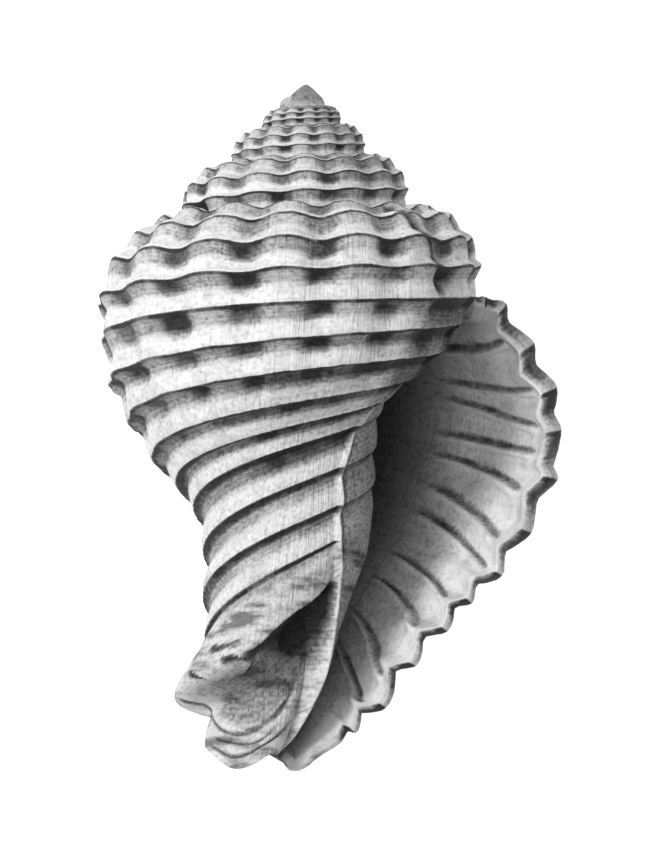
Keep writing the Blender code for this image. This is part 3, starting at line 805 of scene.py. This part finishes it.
def place(r, d, angle):
    """Point in the shell's own frame: axis up, aperture towards -Y, lip towards +X."""
    below = d - NECK_START
    lean = -NECK_LEAN * (np.sqrt(below ** 2 + NECK_EASE ** 2) + below) / 2
    turn = np.radians(angle)
    side = r * np.cos(turn)
    lean = lean - SPIRE_LEAN * fade(d, 0, SPIRE_END)
    return np.stack([side + lean, r * np.sin(turn), -(d + COIL_SKEW * side)], axis=-1)


class Surface:
    """Vertices and triangles; chains of vertices are joined pairwise by their keys.

    Each vertex carries its painted shade (below 0 a painted highlight), how far inside the hollow
    it is, which deepens the painted shade there, its growth stage and its row, which the material
    reads.
    """

    def __init__(self):
        self.points = []
        self.marks = []
        self.triangles = []

    def chain(self, points, dark, inside, stage, row):
        first = len(self.points)
        count = len(points)
        self.points.extend(points.tolist())
        columns = [np.broadcast_to(np.asarray(mark, float), count)
                   for mark in (dark, inside, stage, row)]
        self.marks.extend(np.stack(columns, axis=1).tolist())
        return list(range(first, first + count))

    def bridge(self, chain_a, keys_a, chain_b, keys_b):
        """Triangles between two chains, facing to the left when going along chain_a."""
        i = j = 0
        while i < len(chain_a) - 1 or j < len(chain_b) - 1:
            end_a = i == len(chain_a) - 1
            end_b = j == len(chain_b) - 1
            if end_b or (not end_a and keys_a[i + 1] <= keys_b[j + 1]):
                self.add(chain_a[i], chain_a[i + 1], chain_b[j])
                i += 1
            else:
                self.add(chain_a[i], chain_b[j + 1], chain_b[j])
                j += 1

    def fan(self, centre, ring):
        for a, b in zip(ring, ring[1:]):
            self.add(centre, a, b)

    def add(self, a, b, c):
        if len({a, b, c}) == 3:
            self.triangles.append((a, b, c))


def stepped_rows(first, last, steps):
    return [row + step for row in range(first, last) for step in steps]


def spire_rows(turn):
    steps = FINE_STEPS if turn < 2 else MIDDLE_STEPS if turn < 3 else COARSE_STEPS
    return stepped_rows(0, 1, SUTURE_STEPS) + stepped_rows(1, MAIN_KEEL, steps) + [MAIN_KEEL]


def base_rows():
    rows = stepped_rows(MAIN_KEEL, LAST_CORD, FINE_STEPS)
    rows = rows + stepped_rows(LAST_CORD, 16, BAND_STEPS) + stepped_rows(16, 17, HOLLOW_STEPS)
    rows = rows + stepped_rows(17, LAST_ROW, BAND_STEPS) + [LAST_ROW]
    return sorted([row for row in rows if row > MAIN_KEEL] + [CALLUS_ROW])


def build_outside(shell):
    """Wind the outer strip from the lip back to the smooth first whorls."""
    last_column = int(WHORLS * COLUMNS_PER_TURN)
    columns = []
    for column in range(last_column + 1):
        rows = spire_rows(column // COLUMNS_PER_TURN)
        if column > last_column - PLAIN_COLUMNS:
            rows = [0, MAIN_KEEL]
        if column <= COLUMNS_PER_TURN:
            rows = spire_rows(0) + base_rows()
        rows = np.array(rows, float)
        angle = column_angle(rows, np.full(len(rows), float(column)))
        r, d, dark = outer_point(rows, angle)
        chain = shell.chain(place(r, d, angle), dark, 0, angle, rows)
        columns.append((chain, list(rows)))
    for column in range(last_column + 1 - COLUMNS_PER_TURN):
        chain = columns[column][0]
        older, older_rows = columns[column + COLUMNS_PER_TURN]
        chain[0] = older[older_rows.index(MAIN_KEEL)]
    for newer, older in zip(columns, columns[1:]):
        chain_new, rows_new = newer
        chain_old, rows_old = older
        if len(rows_old) < len(rows_new) and rows_old[-1] == MAIN_KEEL:
            keep = rows_new.index(MAIN_KEEL) + 1
            chain_new, rows_new = chain_new[:keep], rows_new[:keep]
        shell.bridge(chain_new, rows_new, chain_old, rows_old)
    return columns


def build_dome(shell, columns):
    """Close the top with the smooth first whorls."""
    last = len(columns) - 1
    outer = [columns[k][0][0] for k in range(last - COLUMNS_PER_TURN, last + 1)]
    keys = list(range(COLUMNS_PER_TURN + 1))
    angles = stage_of_column(np.array([last - COLUMNS_PER_TURN + k for k in keys[:-1]], float))
    outer_keys = keys
    for r, d in DOME:
        count = len(angles)
        points = place(np.full(count, r), np.full(count, d), angles)
        ring = shell.chain(points, DOME_SHADE, 0, angles, r)
        ring.append(ring[0])
        shell.bridge(outer + outer[:1], outer_keys + outer_keys[-1:], ring, keys)
        outer, outer_keys = ring[:-1], keys[:-1]
    top = shell.chain(place(np.zeros(1), np.full(1, APEX_DEPTH), np.zeros(1)), DOME_SHADE, 0, 0, 0)
    shell.fan(top[0], outer + [outer[0]])


def add_lip_column(shell, back):
    """One column of the outer lip's inner face, with its rows."""
    if back <= LIP_TURN_ANGLE:
        rows = spire_rows(0) + base_rows()
    else:
        steps = LIP_STEPS if back <= LIRA_ANGLES[1] + 4 else DEEP_STEPS
        rows = stepped_rows(0, LAST_ROW, steps) + [LAST_ROW]
    rows = np.array(rows, float)
    angle = np.full(len(rows), float(back))
    r, d, dark, lira_highlight = inner_point(rows, angle)
    # Painted shade deeper inside the hollow, less on the ridges, which get a painted highlight.
    inside = (1 - fade(back, *LIP_DARKENS)) * (1 - LIRA_HIGHLIGHT_SHARE * lira_highlight)
    return shell.chain(place(r, d, angle), dark, inside, angle, INNER_LINES * rows), list(rows)


def add_callus_column(shell, rows, angle, inside):
    r, d, dark = column_point(rows, angle)
    return shell.chain(place(r, d, angle), dark, inside, angle, rows)


def hollow_columns(shell):
    """The outer lip's inner face and the callused column, column by column."""
    rows = np.array([CALLUS_ROW] + stepped_rows(6, LAST_ROW, CALLUS_STEPS) + [LAST_ROW])
    edge = callus_angle(rows)
    column_side = [add_callus_column(shell, rows, edge + (360 - edge) * share, 0)
                   for share in CALLUS_SHARES]
    lip = []
    for back in HOLLOW_ANGLES:
        lip.append(add_lip_column(shell, back))
        angle = np.full(len(rows), 360.0 + back)
        # Painted shade deeper inside the hollow, on the column's side.
        column_side.append(add_callus_column(shell, rows, angle, 1 - fade(back, *COLUMN_DARKENS)))
    return lip, column_side, list(rows)


def build_hollow(shell, columns):
    lip, column_side, callus_keys = hollow_columns(shell)
    for far, near in zip(lip, [columns[0]] + lip):
        shell.bridge(far[0], far[1], near[0], near[1])
    lip_keys = lip[-1][1]
    lip = [chain for chain, rows in lip]

    base_chain, base_keys = columns[COLUMNS_PER_TURN]
    first = base_keys.index(CALLUS_ROW)
    shell.bridge(base_chain[first:], base_keys[first:], column_side[0], callus_keys)
    for near, far in zip(column_side, column_side[1:]):
        shell.bridge(near, callus_keys, far, callus_keys)

    # Top corner of the aperture, under the suture.
    at_lip = len(CALLUS_SHARES)
    corner = base_chain[base_keys.index(MAIN_KEEL):first + 1]
    corner = corner + [side[0] for side in column_side[:at_lip + 1]]
    shell.fan(lip[0][0], corner)
    deep = list(zip(lip, column_side[at_lip:]))
    for near, far in zip(deep, deep[1:]):
        shell.add(near[0][0], near[1][0], far[1][0])
        shell.add(near[0][0], far[1][0], far[0][0])
        shell.add(near[1][-1], near[0][-1], far[0][-1])
        shell.add(near[1][-1], far[0][-1], far[1][-1])

    # End of the hollow, deep inside.
    shell.bridge(column_side[-1], callus_keys, lip[-1], lip_keys)

    # Underside of the canal.
    rim = [chain[-1] for chain, rows in columns[:COLUMNS_PER_TURN + 1]]
    rim = rim + [side[-1] for side in column_side[:at_lip + 1]] + [lip[0][-1], rim[0]]
    centre = place(np.full(1, CANAL_END[0]), np.full(1, CANAL_END[1]), np.full(1, 180.0))
    end = shell.chain(centre, CANAL_END_SHADE, CANAL_END_INSIDE, 0, LAST_ROW)
    shell.fan(end[0], rim[::-1])


def resting_turn():
    """Turn from the shell's own upright frame to lying on its back."""
    roll = Matrix.Rotation(math.radians(REST_ROLL), 3, "Z")
    onto_back = Matrix.Rotation(math.radians(REST_PITCH - 90), 3, "X")
    return onto_back @ roll


def settle(points):
    """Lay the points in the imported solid's place, and give the shift that put them there."""
    points = points @ np.array(resting_turn()).T
    low, high = points.min(axis=0), points.max(axis=0)
    solid_low, solid_high = (np.array(corner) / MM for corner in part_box("shell"))
    middle = (solid_low + solid_high - low - high) / 2
    shift = np.array([middle[0], middle[1], solid_high[2] - high[2]])
    points = points + shift
    points[:, 2] = np.maximum(points[:, 2], 0)
    return points, shift


def build_shell():
    """The fine surface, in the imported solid's place, and the shift that put it there."""
    shell = Surface()
    columns = build_outside(shell)
    build_dome(shell, columns)
    build_hollow(shell, columns)
    used = sorted({k for triangle in shell.triangles for k in triangle})
    index = {old: new for new, old in enumerate(used)}
    points, shift = settle(np.array([shell.points[k] for k in used]))
    faces = [tuple(index[k] for k in triangle) for triangle in shell.triangles]
    mesh = bpy.data.meshes.new("shell_surface")
    mesh.from_pydata((MM * points).tolist(), [], faces)
    marks = np.array([shell.marks[k] for k in used])
    for column, name in enumerate(MARKS):
        layer = mesh.attributes.new(name, "FLOAT", "POINT")
        layer.data.foreach_set("value", marks[:, column].astype(np.float32))
    mesh.shade_smooth()
    body = bpy.data.objects.new("shell_surface", mesh)
    bpy.context.scene.collection.objects.link(body)
    return body, Vector(shift)


def node(tree, kind, inputs=(), **settings):
    """Add a node, with its settings and its inputs given as values or other nodes' outputs."""
    made = tree.nodes.new(kind)
    for name, value in settings.items():
        setattr(made, name, value)
    for key, value in dict(inputs).items():
        if isinstance(value, bpy.types.NodeSocket):
            tree.links.new(value, made.inputs[key])
        else:
            made.inputs[key].default_value = value
    return made


def ramp(tree, value, stops):
    made = node(tree, "ShaderNodeValToRGB", {"Fac": value})
    elements = made.color_ramp.elements
    while len(elements) < len(stops):
        elements.new(0.5)
    for element, (at, tone) in zip(elements, stops):
        element.position = at
        element.color = (tone, tone, tone, 1)
    return made.outputs["Color"]


def multiply(tree, first, second, factor=1.0):
    made = node(tree, "ShaderNodeMix", {"Factor": factor}, data_type="RGBA", blend_type="MULTIPLY")
    tree.links.new(first, made.inputs["A"])
    tree.links.new(second, made.inputs["B"])
    return made.outputs["Result"]


def calculate(tree, operation, *values):
    """The result of a sum on values or other nodes' outputs."""
    made = node(tree, "ShaderNodeMath", dict(enumerate(values)), operation=operation)
    return made.outputs[0]


def rescale(tree, value, before, after):
    made = node(tree, "ShaderNodeMapRange", {"Value": value, "From Min": before[0],
                                             "From Max": before[1], "To Min": after[0],
                                             "To Max": after[1]})
    return made.outputs["Result"]


def how_much(tree, mark, shows):
    goes_by, before, after = shows
    return rescale(tree, mark[goes_by], before, after)


def stretch(tree, vector, scale):
    return node(tree, "ShaderNodeMapping", {"Vector": vector, "Scale": scale}).outputs["Vector"]


def noise(tree, vector, scale, detail, roughness):
    made = node(tree, "ShaderNodeTexNoise", {"Vector": vector, "Scale": scale, "Detail": detail,
                                             "Roughness": roughness})
    return made.outputs["Fac"]


def add_bumps(tree, pattern):
    """The bumps' joint effect on the surface's direction."""
    normal = {}
    for name, strength, height in BUMPS:
        made = node(tree, "ShaderNodeBump", {"Height": pattern[name], "Strength": strength,
                                             "Distance": height, **normal})
        normal = {"Normal": made.outputs["Normal"]}
    return normal["Normal"]


def painted_shade_colour(tree, mark, pattern):
    """Chalky white with painted shade in the recesses, with ragged edges and fine spiral lines in
    that shade.
    """
    ragged = calculate(tree, "ADD", pattern["mottle"], -0.5)
    weight = calculate(tree, "MULTIPLY_ADD", mark["dark"], *RAGGEDNESS)
    dark = calculate(tree, "MULTIPLY_ADD", ragged, weight, mark["dark"])
    turns = calculate(tree, "MULTIPLY", pattern["strokes"], SPIRAL_DRIFT)
    per_row = 2 * math.pi * SPIRAL_LINES_PER_ROW
    wave = calculate(tree, "SINE", calculate(tree, "MULTIPLY_ADD", mark["row"], per_row, turns))
    share = how_much(tree, mark, SPIRALS_SHOW)
    return multiply(tree, ramp(tree, dark, SHADES), ramp(tree, wave, SPIRAL_TONES), share)


def add_patterns(tree, colour, mark, pattern):
    """Darken the colour by each pattern in turn."""
    for name, (shows, tones) in PATTERNS.items():
        share = how_much(tree, mark, shows)
        colour = multiply(tree, colour, ramp(tree, pattern[name], tones), share)
    return colour


def make_patterns(tree, space):
    pattern = {}
    for name, (where, stretched, *settings) in NOISES.items():
        vector = stretch(tree, space[where], stretched) if stretched else space[where]
        pattern[name] = noise(tree, vector, *settings)
    inputs = {"Vector": stretch(tree, space["growth"], CRACK_STRETCH), "Scale": 1.0,
              "Randomness": CRACK_RANDOMNESS}
    cracks = node(tree, "ShaderNodeTexVoronoi", inputs, feature="DISTANCE_TO_EDGE")
    pattern["cracks"] = cracks.outputs["Distance"]
    return pattern


def shell_material():
    """Chalky grey-white shell, with painted shade in its recesses, growth lines and mottling."""
    material = bpy.data.materials.new("chalky_shell")
    material.use_nodes = True
    tree = material.node_tree
    shader = tree.nodes["Principled BSDF"]
    mark = {name: node(tree, "ShaderNodeAttribute", attribute_name=name).outputs["Fac"]
            for name in MARKS}
    growth = node(tree, "ShaderNodeCombineXYZ", {"X": mark["stage"], "Y": mark["row"]})
    space = {"growth": growth.outputs["Vector"],
             "own": node(tree, "ShaderNodeTexCoord").outputs["Object"]}
    pattern = make_patterns(tree, space)
    colour = add_patterns(tree, painted_shade_colour(tree, mark, pattern), mark, pattern)
    # Painted shade, darker deeper inside the hollow
    colour = multiply(tree, colour, ramp(tree, mark["inside"], INSIDE_TONES))
    tree.links.new(colour, shader.inputs["Base Color"])
    tree.links.new(add_bumps(tree, pattern), shader.inputs["Normal"])
    roughness = rescale(tree, pattern["mottle"], (0.0, 1.0), ROUGHNESS)
    tree.links.new(roughness, shader.inputs["Roughness"])
    shader.inputs["Specular IOR Level"].default_value = SPECULAR
    return material


def floor_material():
    """A pale table that glows a little, as a light table does, so that shadows stay faint."""
    material = bpy.data.materials.new("pale_floor")
    material.use_nodes = True
    shader = material.node_tree.nodes["Principled BSDF"]
    shader.inputs["Base Color"].default_value = (FLOOR_GREY, FLOOR_GREY, FLOOR_GREY, 1)
    shader.inputs["Roughness"].default_value = FLOOR_ROUGHNESS
    shader.inputs["Specular IOR Level"].default_value = 0.0
    shader.inputs["Emission Color"].default_value = (1, 1, 1, 1)
    shader.inputs["Emission Strength"].default_value = FLOOR_GLOW
    return material


def build_floor():
    half = FLOOR_HALF_SIZE
    mesh = bpy.data.meshes.new("floor")
    corners = [(-half, -half, 0), (half, -half, 0), (half, half, 0), (-half, half, 0)]
    mesh.from_pydata(corners, [], [(0, 1, 2, 3)])
    mesh.materials.append(floor_material())
    floor = bpy.data.objects.new("floor", mesh)
    bpy.context.scene.collection.objects.link(floor)


def build_camera(shift):
    """A long lens at the photograph's viewing angle, aimed by the coil's apex."""
    tilt = math.radians(VIEW_TILT)
    turn = resting_turn()
    right = turn @ Vector((1, 0, 0))
    ahead = turn @ Vector((0, math.cos(tilt), math.sin(tilt)))
    up = turn @ Vector((0, -math.sin(tilt), math.cos(tilt)))
    across = (FRAME_WIDTH_PX / 2 - APEX_PX[0]) * MM_PER_PX
    down = (FRAME_HEIGHT_PX / 2 - APEX_PX[1]) * MM_PER_PX
    target = shift + right * across - up * down
    data = bpy.data.cameras.new("camera")
    data.sensor_width = SENSOR_WIDTH
    data.lens = data.sensor_width * EYE_DISTANCE / (FRAME_HEIGHT_PX * MM_PER_PX)
    data.clip_start, data.clip_end = CLIP
    camera = bpy.data.objects.new("camera", data)
    axes = Matrix((right, up, -ahead)).transposed()
    camera.matrix_world = Matrix.Translation((target - ahead * EYE_DISTANCE) * MM) @ axes.to_4x4()
    bpy.context.scene.collection.objects.link(camera)
    bpy.context.scene.camera = camera
    return target * MM, axes


def add_light(name, target, axes, direction, distance, size, power):
    """Area light whose direction is given as the picture's right, up and towards the eye."""
    data = bpy.data.lights.new(name, "AREA")
    data.size = size
    data.energy = power
    light = bpy.data.objects.new(name, data)
    back = (axes @ Vector(direction)).normalized()
    light.location = target + back * distance
    light.rotation_mode = "QUATERNION"
    light.rotation_quaternion = back.to_track_quat("Z", "Y")
    bpy.context.scene.collection.objects.link(light)


def build_lights(target, axes):
    for name, lamp in LAMPS.items():
        add_light(name, target, axes, *lamp)
    world = bpy.data.worlds.new("studio")
    world.use_nodes = True
    background = world.node_tree.nodes["Background"]
    background.inputs["Color"].default_value = (1, 1, 1, 1)
    background.inputs["Strength"].default_value = SKY_STRENGTH
    bpy.context.scene.world = world


def main():
    surface, shift = build_shell()
    surface.data.materials.append(shell_material())
    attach(surface, "root")
    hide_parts("shell")
    build_floor()
    target, axes = build_camera(shift)
    build_lights(target, axes)
    bpy.context.scene.view_settings.view_transform = "Standard"


main()
